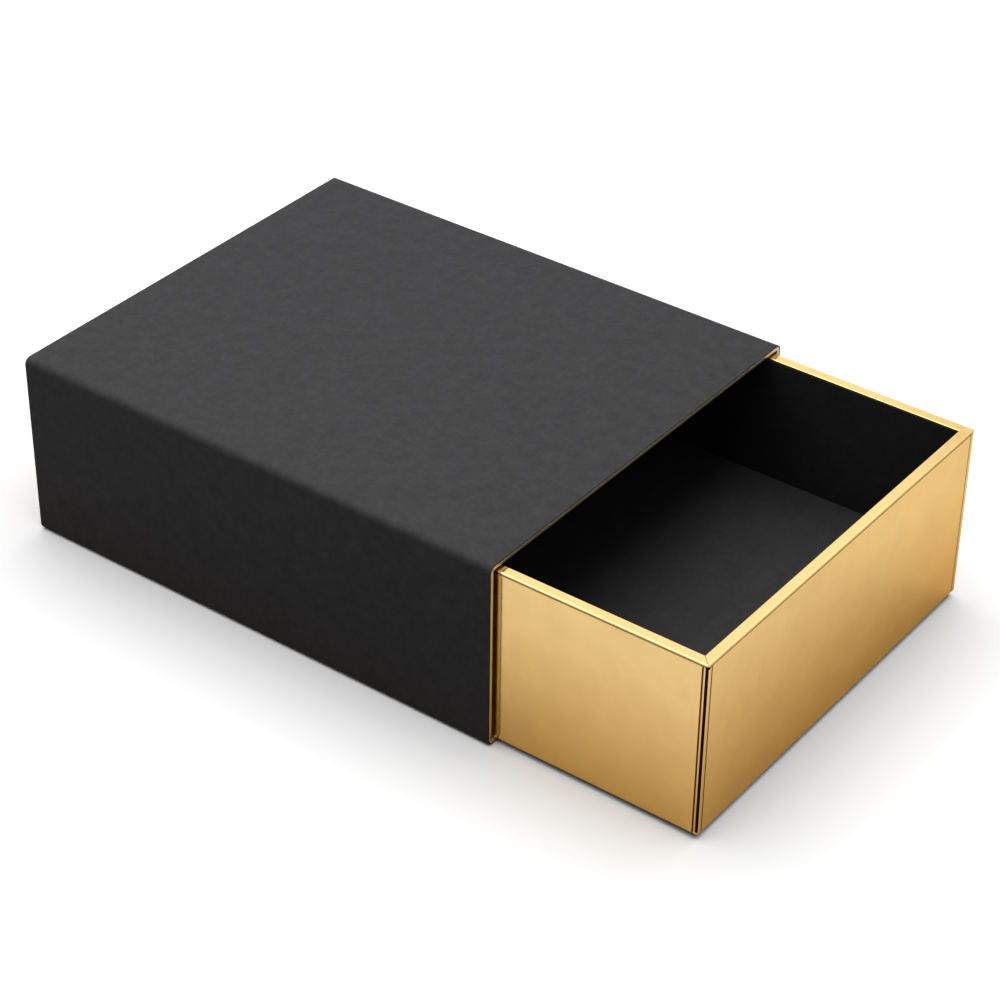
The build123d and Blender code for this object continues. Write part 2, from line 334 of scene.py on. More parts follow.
def black_paper(name, dark, light, mottle, tooth_depth, roughness, specular):
    """A matt black paper between a dark and a light tone."""
    finish, tree, shader, place = new_finish(name, roughness, specular=specular)
    clouds = noise(tree, place, mottle, detail=8, roughness=0.82)
    fibres = noise(tree, place, mottle / 20, stretch=(2.5, 1, 1), detail=3)
    tone = between(tree, clouds, 0.0, 1.0)
    tree.links.new(blend_colours(tree, tone, dark, light), shader.inputs["Base Color"])
    fine = between(tree, fibres, 0.0, fine_share)
    coarse = between(tree, clouds, 0.0, coarse_share)
    raise_grain(tree, shader, [fine, coarse], tooth_depth)
    print("paper:", finish.name)
    return finish


black_card = black_paper(
    "black_card", (0.038, 0.0365, 0.0378), (0.065, 0.0625, 0.0645),
    mottle=4.5 * MM, tooth_depth=0.025 * MM, roughness=0.55, specular=0.05,
)
black_lining = black_paper(
    "black_lining", (0.013, 0.013, 0.0135), (0.024, 0.024, 0.0245),
    mottle=6.5 * MM, tooth_depth=0.03 * MM, roughness=0.8, specular=0.12,
)
black_floor_paper = black_paper(
    "black_floor_paper", (0.023, 0.023, 0.024), (0.040, 0.040, 0.041),
    mottle=6.0 * MM, tooth_depth=0.035 * MM, roughness=0.75, specular=0.2,
)

# %% [markdown]
# ### Gold papers
# Foil card is paper with a thin metal skin under a clear lacquer, so the shader is a metal
# with a thin coat: its colour lives in the reflection. The skin has cloudy patches, and
# rolling has left a fine grain that changes its gloss from streak to streak. Where the card
# is pressed, its colour is painted a near black brown: painted shade of the narrow groove,
# with some of the foil's own darkening where it is stretched. A metal turns white at a
# glancing angle, and the specular tint keeps it warm there. The paper inside the sleeve is
# paler and only half metal.

# %% Gold foil card and gold paper
cloud_size = 9 * MM
rolled_grain = 0.35 * MM
rolled_length = (6, 6, 1)
grain_depth = 0.006 * MM
gloss_change = 0.05


def gold_foil(name, dark, light, roughness, metallic, crease_tone_and_shade=None):
    """A satin gold metal skin, with a painted crease shade if a crease colour is given."""
    finish, tree, shader, place = new_finish(name, roughness, metallic)
    clouds = noise(tree, place, cloud_size, detail=4, roughness=0.6)
    grain = noise(tree, place, rolled_grain, stretch=rolled_length, detail=2)
    colour = blend_colours(tree, between(tree, clouds, 0.0, 1.0), dark, light)
    # The crease weight blends in a dark brown: painted shade of the groove, with some of the
    # foil's own darkening at the fold.
    if crease_tone_and_shade:
        pressed_and_shaded = tree.nodes.new("ShaderNodeAttribute")
        pressed_and_shaded.attribute_name = "pressed_and_shaded"
        colour = blend_colours(tree, pressed_and_shaded.outputs["Fac"], colour, crease_tone_and_shade)
    tree.links.new(colour, shader.inputs["Base Color"])
    gloss = between(tree, grain, roughness - gloss_change, roughness + gloss_change)
    tree.links.new(gloss, shader.inputs["Roughness"])
    raise_grain(tree, shader, [between(tree, grain, 0.0, 1.0)], grain_depth)
    print("foil:", finish.name)
    return finish, shader


# The third colour is the painted crease shade, a near black brown.
gold_foil_card, card_shader = gold_foil(
    "gold_foil_card", (0.78, 0.53, 0.205), (0.84, 0.58, 0.23), roughness=0.15, metallic=1.0,
    crease_tone_and_shade=(0.08, 0.035, 0.006),
)
card_shader.inputs["Specular Tint"].default_value = (0.95, 0.74, 0.45, 1)
card_shader.inputs["Coat Weight"].default_value = 0.3
card_shader.inputs["Coat Roughness"].default_value = 0.25
gold_paper = gold_foil(
    "gold_paper", (0.80, 0.64, 0.39), (0.88, 0.71, 0.45), roughness=0.36, metallic=0.6
)[0]

# %% [markdown]
# ### Greyboard and kraft
# These stay hidden under the paper, but the pieces are real and get a real finish, which
# shows when the box is taken apart. Greyboard is pressed waste paper: warm grey with
# flecks. Kraft tape is brown with long fibres.

# %% Greyboard and kraft tape
def pulp(name, dark, light, fleck, stretch, depth):
    """A rough uncoated paper or board with visible flecks."""
    finish, tree, shader, place = new_finish(name, 0.9, specular=0.2)
    flecks = noise(tree, place, fleck, stretch=stretch, detail=6, roughness=0.7)
    tone = between(tree, flecks, 0.0, 1.0, contrast=(0.35, 0.62))
    tree.links.new(blend_colours(tree, tone, dark, light), shader.inputs["Base Color"])
    raise_grain(tree, shader, [tone], depth)
    print("board or tape:", finish.name)
    return finish


greyboard = pulp(
    "greyboard", (0.20, 0.185, 0.165), (0.33, 0.31, 0.28), 1.1 * MM, (1, 1, 1), 0.05 * MM
)
kraft_tape = pulp(
    "kraft_tape", (0.33, 0.21, 0.11), (0.47, 0.32, 0.18), 0.6 * MM, (1, 6, 1), 0.02 * MM
)

# %% [markdown]
# ### Dressing the frame
# The record says which material each node has. One loop hands out the finishes, so no board,
# tape, stay or riser is bare when the box is taken apart.

# %% Give every node of the frame its finish
finishes = {
    "black_card": black_card,
    "black_lining": black_lining,
    "black_floor_paper": black_floor_paper,
    "gold_foil_card": gold_foil_card,
    "gold_paper": gold_paper,
    "greyboard": greyboard,
    "kraft_tape": kraft_tape,
}
slot_of_node = {}
for part in frame["record"]["subparts"]:
    slot_of_node[part["node"]] = part["material_slot"]
for name, node in frame["nodes"].items():
    node.data.materials.clear()
    node.data.materials.append(finishes[slot_of_node[name]])
print("nodes dressed:", len(slot_of_node))

# %% [markdown]
# ## The sleeve's papers
# The black card goes once round the box. Unrolled, it is a flat sheet with a distance
# round the box, a depth into the wall and a distance along it. Those three are the
# levels of its grid, and a function then folds the sheet round four rounded edges.

# %% Fold a flat sheet round the sleeve
sleeve_edge_radius = 2.5 * MM
flat_half = sleeve_width / 2 - sleeve_edge_radius
upright = sleeve_height - 2 * sleeve_edge_radius
quarter = math.pi / 2 * sleeve_edge_radius
stretch_lengths = [flat_half, quarter, upright, quarter, 2 * flat_half,
                   quarter, upright, quarter, flat_half]
stretch_starts = np.cumsum([0] + stretch_lengths)
girth = stretch_starts[-1]
fold_centres = np.array([
    (0, sleeve_edge_radius),
    (-flat_half, sleeve_edge_radius),
    (-flat_half, sleeve_height - sleeve_edge_radius),
    (flat_half, sleeve_height - sleeve_edge_radius),
    (flat_half, sleeve_edge_radius),
])


def fold_round_sleeve(around, depth, along):
    """Bends a sheet round the sleeve. Around starts under the middle and runs to the left."""
    stretch = np.clip(np.searchsorted(stretch_starts, around, side="right") - 1, 0, 8)
    past = around - stretch_starts[stretch]
    corner = stretch // 2
    on_fold = stretch % 2 == 1
    angle = -math.pi / 2 * (1 + corner + np.where(on_fold, past / quarter, 0))
    out_x, out_z = np.cos(angle), np.sin(angle)
    centre = fold_centres[corner + on_fold]
    straight = np.where(on_fold, 0, past)
    x = centre[:, 0] + (sleeve_edge_radius - depth) * out_x + straight * out_z
    z = centre[:, 1] + (sleeve_edge_radius - depth) * out_z - straight * out_x
    return np.stack([x, along, z], axis=-1)


beside_fold = 1 * MM


def marks_around(start, end):
    """Marks round the sleeve: the ends, each fold in eight parts, and one beside each fold."""
    marks = [start, end]
    for k in (1, 3, 5, 7):
        fold_start = stretch_starts[k]
        marks += [fold_start + quarter * part / 8 for part in range(9)]
        marks += [fold_start - beside_fold, fold_start + quarter + beside_fold]
    return [m for m in marks if start <= m <= end]


print("paper round the sleeve, in mm:", round(girth / MM, 1))

# %% [markdown]
# The black card covers the top and both sides and is turned under the bottom in two strips.
# Two small things make it look like glued paper: its cut ends are a little round, and its
# faces are some hundredths of a millimetre uneven, but calm near the mouths.

# %% The black wrap
cut_edge = 0.12 * MM
glue_ripple = 0.03 * MM
calm_width = 6 * MM
strip_gap = 0.2 * MM
strip_edge = base_sheet_high.x + strip_gap
wrap_step = 5 * MM


def make_sleeve_wrap():
    """Black card over the top and sides, turned under in two strips."""
    reach = sleeve_reach
    ends = [reach - m for m in fold_marks(cut_edge, 2)] + [reach - beside_fold]
    along = levels(ends + [-m for m in ends], wrap_step)
    around = levels(marks_around(strip_edge, girth - strip_edge), wrap_step)
    depth = levels([0, sleeve_card] + fold_marks(cut_edge, 2), sleeve_card)
    points, faces = cell_skin(around, depth, along, lambda a, d, y: np.full(a.shape, True))
    a, d, y = points.T
    outside = same(d, 0)
    from_end, d = squeeze(reach - np.abs(y), d, cut_edge)
    y = np.sign(y) * (reach - from_end)
    uneven = np.clip((reach - np.abs(y)) / calm_width, 0, 1) * np.where(outside, 1, 0)
    d = d + uneven * glue_ripple * (0.5 + 0.5 * ripple(a, y, 1))
    folded = fold_round_sleeve(a, d, y)
    make_piece("sleeve_wrap", folded, faces, "sleeve", black_card)


make_sleeve_wrap()

# %% [markdown]
# The gold paper is a tube inside the boards. At both mouths it turns outwards over the
# boards' ends, and that turned edge is the thin gold line that frames the drawer. It is one
# sheet again: all the cells near the inside are paper, and so are those near an end.

# %% The gold lining
lining_outer = sleeve_card
lining_back = sleeve_card + sleeve_board
mouth_fold = 0.4 * MM
turned_edge = 0.19 * MM
half_seam = 0.05 * MM
lining_step = 6 * MM


def make_sleeve_lining():
    """Gold paper inside the sleeve, folded over the ends of the boards."""
    reach = sleeve_reach
    ends = [sleeve_foil, beside_fold] + fold_marks(mouth_fold) + fold_marks(turned_edge)
    along = levels([side * (reach - m) for m in ends for side in (-1, 1)], lining_step)
    around = levels(marks_around(half_seam, girth - half_seam), lining_step)
    depths = [lining_outer + m for m in fold_marks(turned_edge)]
    depths += [sleeve_wall - m for m in fold_marks(mouth_fold)]
    depth = levels(depths + [lining_back], sleeve_board / 2)

    def is_paper(a, d, y):
        return (d > lining_back) | (np.abs(y) > reach - sleeve_foil)

    points, faces = cell_skin(around, depth, along, is_paper)
    a, d, y = points.T
    skin = same(np.abs(y), reach) | same(d, sleeve_wall)
    from_end = reach - np.abs(y)
    new_end, from_mouth = squeeze(from_end, sleeve_wall - d, mouth_fold, skin)
    outer_end, from_edge = squeeze(new_end, d - lining_outer, turned_edge, same(from_end, 0))
    by_edge = ~same(from_edge, d - lining_outer)
    d = np.where(by_edge, from_edge + lining_outer, sleeve_wall - from_mouth)
    y = np.sign(y) * (reach - outer_end)
    folded = fold_round_sleeve(a, d, y)
    make_piece("sleeve_lining", folded, faces, "sleeve", gold_paper)


make_sleeve_lining()

# %% [markdown]
# Two sheets close the undersides: a black one between the sleeve's turned strips, and a gold
# one under the drawer. They are flat, so one function makes both from the boxes of their
# nodes and only rounds their cut edges.

# %% The sheets under the sleeve and the drawer
sheet_step = 8 * MM


def make_flat_sheet(name, body, finish):
    """A pasted sheet as big as its node, with its edges cut a little round."""
    low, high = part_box(name)
    lines = []
    edges = fold_marks(cut_edge, 2)
    for k in range(3):
        marks = [low[k] + m for m in edges] + [high[k] - m for m in edges]
        lines.append(levels(marks, sheet_step))
    points, faces = cell_skin(*lines, lambda x, y, z: np.full(x.shape, True))
    x, y, z = points.T
    drop = z - low.z
    for k, line in ((0, x), (1, y)):
        inward = np.minimum(line - low[k], high[k] - line)
        moved, drop = squeeze(inward, drop, cut_edge)
        line += np.where(line < (low[k] + high[k]) / 2, 1, -1) * (moved - inward)
    shaped = np.stack([x, y, low.z + drop], axis=-1)
    make_piece(name, shaped, faces, body, finish)


make_flat_sheet("sleeve_base_sheet", "sleeve", black_card)
make_flat_sheet("drawer_base_sheet", "drawer", gold_foil_card)

# %% [markdown]
# ## The drawer's walls
# Each wall is a board wrapped in one piece of foil card, and the four are joined at the
# corners like a picture frame. The card is pressed along a line below the rim and beside
# each corner, so that it folds crisply. Between two walls a slit stays open, which the rim
# closes at the top and a fold closes at the foot. The wall is drawn lying along its length,
# with its outer face at depth 0, and a shear at both ends makes the mitres.

# %% Sizes of the foil card's folds and creases
rim_shoulder = 0.50 * MM
rim_inner = 0.3 * MM
foot_fold = 0.4 * MM
mitre_edge = 0.14 * MM
mitre_seam = 0.07 * MM
slit_depth = 2.1 * MM
slit_below_rim = 0.95 * MM
slit_above_foot = 1.0 * MM
slit_lip = 0.3 * MM
notch_height = 0.6 * MM
crease_below_rim = 0.76 * MM
crease_wall = 0.30 * MM
crease_roll = 0.58 * MM
crease_depth = 0.30 * MM
board_from_mitre = 0.85 * MM
board_setback = board_from_mitre * math.sqrt(2)
wall_foot = drawer_low.z
wall_top = drawer_high.z
shear_blend = 20 * MM
wall_step, wall_depth_step, wall_height_step = 4 * MM, 3 * MM, 3.5 * MM


def pressed_line(distance):
    """How deep the card goes in at a line, from 0 to 1, by the distance from the line's middle.
    The same weight sets how much crease shade is painted. The side towards the edge is steep,
    and the side towards the panel rolls out gently."""
    away = np.where(distance > 0, distance / crease_roll, -distance / crease_wall)
    return np.cos(np.clip(away, 0, 1) * math.pi / 2) ** 2


crease_marks = [crease_wall * k / 4 for k in range(-4, 0)]
crease_marks += [crease_roll * k / 5 for k in range(6)]
print("card under the bottom of a crease, in mm:", round((drawer_card - crease_depth) / MM, 2))

# %% [markdown]
# The lists of levels for a wall are long, because every fold, lip and crease needs a few lines
# of its own. Both ends of a wall are alike, so levels along it are written as distances from
# an end. A few more lines beside the creases let the panel run out flat. The card of the
# front and back reaches a little round each corner, so their two ends are unlike the sides'.

# %% Levels of one wall
beside_corner = [2.2 * MM, 2.8 * MM, 4 * MM]
beside_rim = 2.8 * MM
beside_foot = 2 * MM
front_corner = {"slit_half": 0.22 * MM, "crease": 2.0 * MM, "notch_reach": 1.1 * MM}
side_corner = {"slit_half": 0.90 * MM, "crease": 1.8 * MM, "notch_reach": 0.90 * MM}


def wall_levels(length, slit_half, crease_from_corner, notch_reach):
    """Levels along a wall, into it and up it."""
    reach = length / 2 - mitre_seam
    near_end = [0, board_setback - mitre_seam, shear_blend] + beside_corner
    near_end += fold_marks(mitre_edge, 2) + [notch_reach - mitre_seam]
    near_end += [slit_half - mitre_seam + m for m in fold_marks(slit_lip, 3)]
    near_end += [crease_from_corner - mitre_seam + m for m in crease_marks]
    along = levels([side * (reach - m) for m in near_end for side in (-1, 1)], wall_step)
    into = [0, drawer_card, slit_depth, drawer_card + drawer_board, drawer_wall, turn_under]
    into += fold_marks(rim_shoulder) + fold_marks(mitre_edge, 2) + fold_marks(slit_lip, 3)
    into += fold_marks(foot_fold, 3)
    into += [drawer_wall - m for m in fold_marks(rim_inner, 3) + fold_marks(mitre_edge, 2)]
    up = [wall_foot + m for m in fold_marks(foot_fold, 3) + fold_marks(mitre_edge, 2)]
    up += [wall_foot + m for m in (drawer_card, slit_above_foot, beside_foot)] + [base_top]
    up += [wall_top - m for m in fold_marks(rim_shoulder) + fold_marks(mitre_edge, 2)]
    up += [wall_top - m for m in fold_marks(rim_inner, 3)]
    up += [wall_top - m for m in (drawer_card, slit_below_rim, beside_rim)]
    up += [wall_top - slit_below_rim - notch_height]
    up += [wall_top - crease_below_rim - m for m in crease_marks]
    return along, levels(into, wall_depth_step), levels(up, wall_height_step)


front_grid = wall_levels(drawer_width, *front_corner.values())
print("levels along the front wall, into it and up it:", [len(line) for line in front_grid])

# %% [markdown]
# First the section of the wall is rounded: a shoulder outside the rim, a tighter fold inside
# it, and a fold at the foot. Every point also learns how deep it lies under the skin and
# which way is out, because the next steps press it in along that way.

# %% Round the section of a wall
def wall_section(d, z, free):
    """Rounds the wall's section. Returns the moved depth and height, how deep each point
    lies under the skin, and the skin's outward direction there."""
    under = np.minimum.reduce([d, drawer_wall - d, wall_top - z])
    out_d = np.where(same(under, d), -1.0, np.where(same(under, drawer_wall - d), 1.0, 0.0))
    out_z = np.where(out_d == 0, 1.0, 0.0)
    low = (z - wall_foot < under) | (d > drawer_wall)
    under = np.where(low, z - wall_foot, under)
    out_d, out_z = np.where(low, 0.0, out_d), np.where(low, -1.0, out_z)
    corners = (
        (0, 1, wall_top, -1, rim_shoulder),
        (drawer_wall, -1, wall_top, -1, rim_inner),
        (0, 1, wall_foot, 1, foot_fold),
    )
    for corner_d, way_d, corner_z, way_z, radius in corners:
        from_d, from_z = way_d * (d - corner_d), way_z * (z - corner_z)
        inside = (from_d < radius) & (from_z < radius)
        on_skin = same(from_d, 0) | same(from_z, 0)
        new_d, new_z = squeeze(from_d, from_z, radius, free | on_skin)
        d = np.where(inside, corner_d + way_d * new_d, d)
        z = np.where(inside, corner_z + way_z * new_z, z)
        span = np.maximum(np.hypot(new_d - radius, new_z - radius), 1e-9)
        out_d = np.where(inside, way_d * (new_d - radius) / span, out_d)
        out_z = np.where(inside, way_z * (new_z - radius) / span, out_z)
        under = np.where(inside, radius - span, under)
    return d, z, under, out_d, out_z


rim_corner = wall_section(np.zeros(1), np.full(1, wall_top), True)[0][0]
print("the rim's outer corner moves in by, in mm:", round(float(rim_corner) / MM, 3))

# %% [markdown]
# Then the rest goes in the order in which the card is made up. The lips of the slit and the
# mitre are rounded, the creases are pressed in, and last the ends are sheared into mitres.
# The shear fades out 20 mm from the end, so that the board and the middle of the wall stay
# put. The creases by the corners stop at the crease under the rim.

# %% Shape of one wall
# Deep in the slit the card is painted dark brown: in part painted shade of the narrow slit, in
# part the card's bare cut edge.
slit_shade_and_bare_edge = 0.8
panel_calm = 8 * MM


def crease_pattern(from_corner, height, crease_from_corner):
    """How hard the outer face is pressed, by the distance from its corner and the height."""
    from_rim_crease = wall_top - crease_below_rim - height
    beside = pressed_line(from_corner - crease_from_corner)
    beside = beside * np.clip(from_rim_crease / crease_wall + 1, 0, 1)
    return np.maximum(beside, pressed_line(from_rim_crease))


def shape_wall(points, length, slit_half, crease_from_corner, seed):
    """Folds, presses and mitres the skin of one wall. Also returns how much dark brown each
    point is painted: painted shade in the creases and deep in the slit, with some of the foil's
    own darkening at the folds and the card's bare edge in the slit.
    """
    reach = length / 2 - mitre_seam
    x, d, z = points.T
    from_end = reach - np.abs(x)
    height = z.copy()
    past_board = from_end < board_setback - mitre_seam - hairline
    d, z, under, out_d, out_z = wall_section(d, z, past_board)
    start = under.copy()
    skin = same(under, 0)

    by_slit = (height < wall_top - slit_below_rim) & (height > wall_foot + slit_above_foot)
    slit_edge = slit_half - mitre_seam
    # The slit's walls beyond the lip get the painted slit shade.
    in_slit = by_slit & same(from_end, slit_edge) & (d > slit_lip) & (d < drawer_wall)
    on_lip = by_slit & (out_d < -0.5) & (skin | same(from_end, slit_edge))
    from_slit, under = squeeze(from_end - slit_edge, under, slit_lip, on_lip)
    from_end = np.where(on_lip, from_slit + slit_edge, from_end)
    on_mitre = skin | same(from_end, 0)
    from_end, under = squeeze(from_end, under, mitre_edge, on_mitre)

    # How hard each crease presses in also sets how much painted crease shade the point gets.
    facing = np.where(skin & (out_d < 0), out_d ** 2, 0)
    pressed_and_shaded = facing * crease_pattern(from_end + mitre_seam, height, crease_from_corner)
    panel = np.clip(np.minimum(from_end, wall_top - height) / panel_calm, 0, 1)
    uneven = facing * panel * (0.5 + 0.5 * ripple(x, height, seed))
    under = under + crease_depth * pressed_and_shaded + glue_ripple * uneven

    d = d - out_d * (under - start)
    z = z - out_z * (under - start)
    lean = np.clip((reach - from_end) / (reach - shear_blend), 0, 1)
    x = np.sign(x) * (reach - from_end - d * lean)
    return np.stack([x, d, z], axis=-1), np.where(in_slit, slit_shade_and_bare_edge, np.sqrt(pressed_and_shaded))


just_below = crease_pattern(panel_calm, wall_top - crease_below_rim - crease_roll / 2, 0)
print("half way out of the rim's crease it is pressed by:", round(float(just_below), 2))

# %% [markdown]
# The cells that are paper: all of the wall and the strip turned under it, less the room of
# its board, less the room of the drawer's bottom board, less the open slit at each corner.
# The slit lies a little to the side of the corner, because the front's card reaches further
# round it, and at its top a small notch shows where the rim's card was cut to fold.

# %% Which cells are foil card
def is_wall_card(length, slit_half, notch_reach):
    """Tells which cells of a wall are foil card."""
    reach = length / 2 - mitre_seam

    def test(x, d, z):
        from_end = reach - np.abs(x)
        wall_or_strip = (d < drawer_wall) | (z < wall_foot + drawer_card)
        board_foot, board_top = wall_foot + drawer_card, wall_top - drawer_card
        in_board = (d > drawer_card) & (d < drawer_card + drawer_board)
        board = in_board & (z > board_foot) & (z < board_top)
        board = board & (from_end > board_setback - mitre_seam)
        bottom = (d > drawer_card + drawer_board) & (z > board_foot) & (z < base_top)
        slit_top = wall_top - slit_below_rim
        slit = (from_end < slit_half - mitre_seam) & (z > wall_foot + slit_above_foot)
        notch = (from_end < notch_reach - mitre_seam) & (z > slit_top - notch_height)
        slit = (slit | notch) & (d < slit_depth) & (z < slit_top)
        return wall_or_strip & ~board & ~bottom & ~slit

    return test


in_front_board = np.array([[0.0], [drawer_card + drawer_board / 2], [wall_top / 2]])
front_card = is_wall_card(drawer_width, front_corner["slit_half"], front_corner["notch_reach"])
print("is there card in the room of the front's board:", bool(front_card(*in_front_board)[0]))

# %% [markdown]
# The four walls are one function called four times. Each side of the drawer says how long its
# wall is, where the middle of its outer face goes and how far it is turned.

# %% Make the four walls
middle_y = (drawer_low.y + drawer_high.y) / 2
walls = {
    "front": (drawer_width, (0, drawer_low.y), 0),
    "back": (drawer_width, (0, drawer_high.y), 180),
    "left": (drawer_length, (drawer_low.x, middle_y), -90),
    "right": (drawer_length, (drawer_high.x, middle_y), 90),
}


def set_wall(points, place, turn):
    """Turns a wall that lies along X and sets its outer face in place."""
    spin = Matrix.Rotation(math.radians(turn), 3, "Z")
    return points @ np.array(spin).T + np.array([place[0], place[1], 0])


def make_wall_wrap(side, seed):
    """One wall's foil card."""
    length, place, turn = walls[side]
    corner = front_corner if side in ("front", "back") else side_corner
    slit, crease, notch = corner["slit_half"], corner["crease"], corner["notch_reach"]
    grid = wall_levels(length, slit, crease, notch)
    points, faces = cell_skin(*grid, is_wall_card(length, slit, notch))
    points, pressed_and_shaded = shape_wall(points, length, slit, crease, seed)
    points = set_wall(points, place, turn)
    name = f"drawer_{side}_wrap"
    make_piece(name, points, faces, "drawer", gold_foil_card, pressed_and_shaded)


for seed, side in enumerate(walls, start=2):
    make_wall_wrap(side, seed)

# %% [markdown]
# ## The black inside
# Four linings cover the inner faces and stop just below the rim, so that a hair of gold
# shows above them. They leave room for the paper stays that hold the corners, and they meet
# in mitres, made by the same shear as the walls'.

# %% Linings of the walls
lining_top = front_lining_high.z
stay_width = stay_high.x - stay_low.x
stay_thickness = 0.15 * MM
lining_edge = 0.1 * MM
lining_ripple = 0.02 * MM
lining_wall_step = 5 * MM


def make_wall_lining(side, seed):
    """Black card over one wall's inner face."""
    length, place, turn = walls[side]
    reach = length / 2 - mitre_seam
    near_end = [0, stay_width, shear_blend, beside_fold]
    along = levels([s * (reach - m) for m in near_end for s in (-1, 1)], lining_wall_step)
    back, face = drawer_wall, drawer_wall + lining_card
    into = levels([back, back + stay_thickness, face - lining_edge, face], lining_card)
    below_top = fold_marks(lining_edge, 2) + [beside_fold]
    up = levels([base_top, stay_high.z] + [lining_top - m for m in below_top], lining_wall_step)

    def is_paper(x, d, z):
        by_stay = (reach - np.abs(x) < stay_width) & (z < stay_high.z)
        return ~(by_stay & (d < back + stay_thickness))

    points, faces = cell_skin(along, into, up, is_paper)
    x, d, z = points.T
    height = z.copy()
    from_face, from_top = squeeze(face - d, lining_top - z, lining_edge)
    d, z = face - from_face, lining_top - from_top
    shown = same(from_face, 0)
    d = d - np.where(shown, lining_ripple * (0.5 + 0.5 * ripple(x, height, seed + 5)), 0)
    lean = np.clip(np.abs(x) / (reach - shear_blend), 0, 1)
    points = np.stack([x - np.sign(x) * d * lean, d, z], axis=-1)
    points = set_wall(points, place, turn)
    name = f"drawer_{side}_lining"
    make_piece(name, points, faces, "drawer", black_lining)


for seed, side in enumerate(walls):
    make_wall_lining(side, seed)

# %% [markdown]
# The floor is one sheet over a raised board, folded down at its four edges, which gives the
# soft light line where it meets the walls. Here an edge can't be rounded with two skins at a
# time, because three meet at a corner. So each point near an edge is drawn straight towards
# a line that lies one radius inside, which makes rods of the edges and balls of the corners.

# %% The raised floor
floor_fold = 0.5 * MM
floor_step = 5 * MM


def make_floor_cover():
    """Black paper over the floor board, folded down its four edges."""
    low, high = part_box("floor_cover")
    board_low, board_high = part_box("floor_board")
    lines = []
    for k in range(2):
        marks = [low[k] + m for m in fold_marks(floor_fold)]
        marks += [high[k] - m for m in fold_marks(floor_fold)]
        lines.append(levels(marks + [board_low[k], board_high[k]], floor_step))
    lines.append(levels([low.z, board_high.z] + [high.z - m for m in fold_marks(floor_fold)], MM))

    def is_paper(x, y, z):
        over = (x > board_low.x) & (x < board_high.x) & (y > board_low.y) & (y < board_high.y)
        return ~(over & (z < board_high.z))

    points, faces = cell_skin(*lines, is_paper)
    inset = np.minimum(points - np.array(low), np.array(high) - points)
    inset[:, 2] = high.z - points[:, 2]
    skin = (inset < hairline).any(axis=1)
    beyond = np.maximum(floor_fold - inset, 0)
    longest = beyond.max(axis=1)
    span = np.maximum(np.linalg.norm(beyond, axis=1), 1e-12)
    shrink = np.where(skin & (longest > 0), longest / span, 1.0)
    moved = beyond * (1 - shrink[:, None])
    centre = (np.array(low) + np.array(high)) / 2
    toward = np.sign(centre - points)
    toward[:, 2] = -1
    shaped = points + toward * moved
    top = same(points[:, 2], high.z) & (inset[:, :2].min(axis=1) > floor_fold)
    uneven = 0.5 + 0.5 * ripple(points[:, 0], points[:, 1], 9)
    shaped[:, 2] -= np.where(top, glue_ripple * uneven, 0)
    make_piece(
        "floor_cover", shaped, faces, "drawer", black_floor_paper
    )


make_floor_cover()

# %% [markdown]
# ## Camera
# The camera stands where the photograph's camera stood. Its place was found by fitting the
# box's straight edges, and it is written as a photographer would say it: a point to look
# at, how far to turn, how high, how far away, how much the camera leans, and the lens.

# %% Set up the camera
look_at = Vector((-10.68, -48.51, 35.0)) * MM
turned, raised, leaned = (math.radians(a) for a in (-53.673, 34.678, 0.800))
distance = 936.99 * MM
lens_mm = 100.72
sensor_mm = 36
nearest_seen = 0.01

back = Vector((
    math.sin(turned) * math.cos(raised), -math.cos(turned) * math.cos(raised), math.sin(raised)
))
right = Vector((0, 0, 1)).cross(back).normalized()
upward = back.cross(right)
right, upward = (
    right * math.cos(leaned) + upward * math.sin(leaned),
    upward * math.cos(leaned) - right * math.sin(leaned),
)
camera = bpy.data.objects.new("camera", bpy.data.cameras.new("camera"))
bpy.context.scene.collection.objects.link(camera)
camera.matrix_world = Matrix.Translation(look_at + back * distance) @ Matrix(
    (right, upward, back)
).transposed().to_4x4()
camera.data.sensor_width = sensor_mm
camera.data.lens = lens_mm
camera.data.clip_start = nearest_seen
bpy.context.scene.camera = camera
print("camera at, in metres:", [round(v, 3) for v in camera.location])

# %% [markdown]
# ## Floor, background and light
# The box stands on a pale table under soft light from above and a little behind. A real
# white table would come out light grey, so for rays from the camera it is painted a shade
# over white, and its shadows stay. For the light that it throws back on the box it is
# dark, as black cards laid beside a product keep its sides deep. The Light Path node tells
# these rays apart, and that works on stage things only: the box's own finishes never ask.

# %% Rays that see the stage
sent_on = ("Is Glossy Ray", "Is Transmission Ray")


def seen_directly(tree):
    """1 for rays from the camera, and for rays that gloss or glass sends on from there."""
    path = tree.nodes.new("ShaderNodeLightPath")
    total = path.outputs["Is Camera Ray"]
    for kind in sent_on:
        total = combine(tree, "MAXIMUM", total, path.outputs[kind])
    first = combine(tree, "LESS_THAN", path.outputs["Diffuse Depth"], 0.5)
    return combine(tree, "MULTIPLY", total, first)


print("beside the camera's own rays, these see the stage:", sent_on)

# %% [markdown]
# ### The table
# Gold mirrors the table, and the table close to a gold wall is lit mostly by gold, so what the
# foil mirrors within a hand's width is painted warm and shaded. It could be left to the
# light itself, but that takes a great many rays to come out clean.

# %% Paint for the table
table_seen = (1.22, 1.22, 1.22)
table_thrown_back = (0.06, 0.06, 0.06)
mirrored_near = (0.80, 0.64, 0.42)
mirrored_far = (1.06, 1.06, 1.10)
mirror_reach = 100 * MM

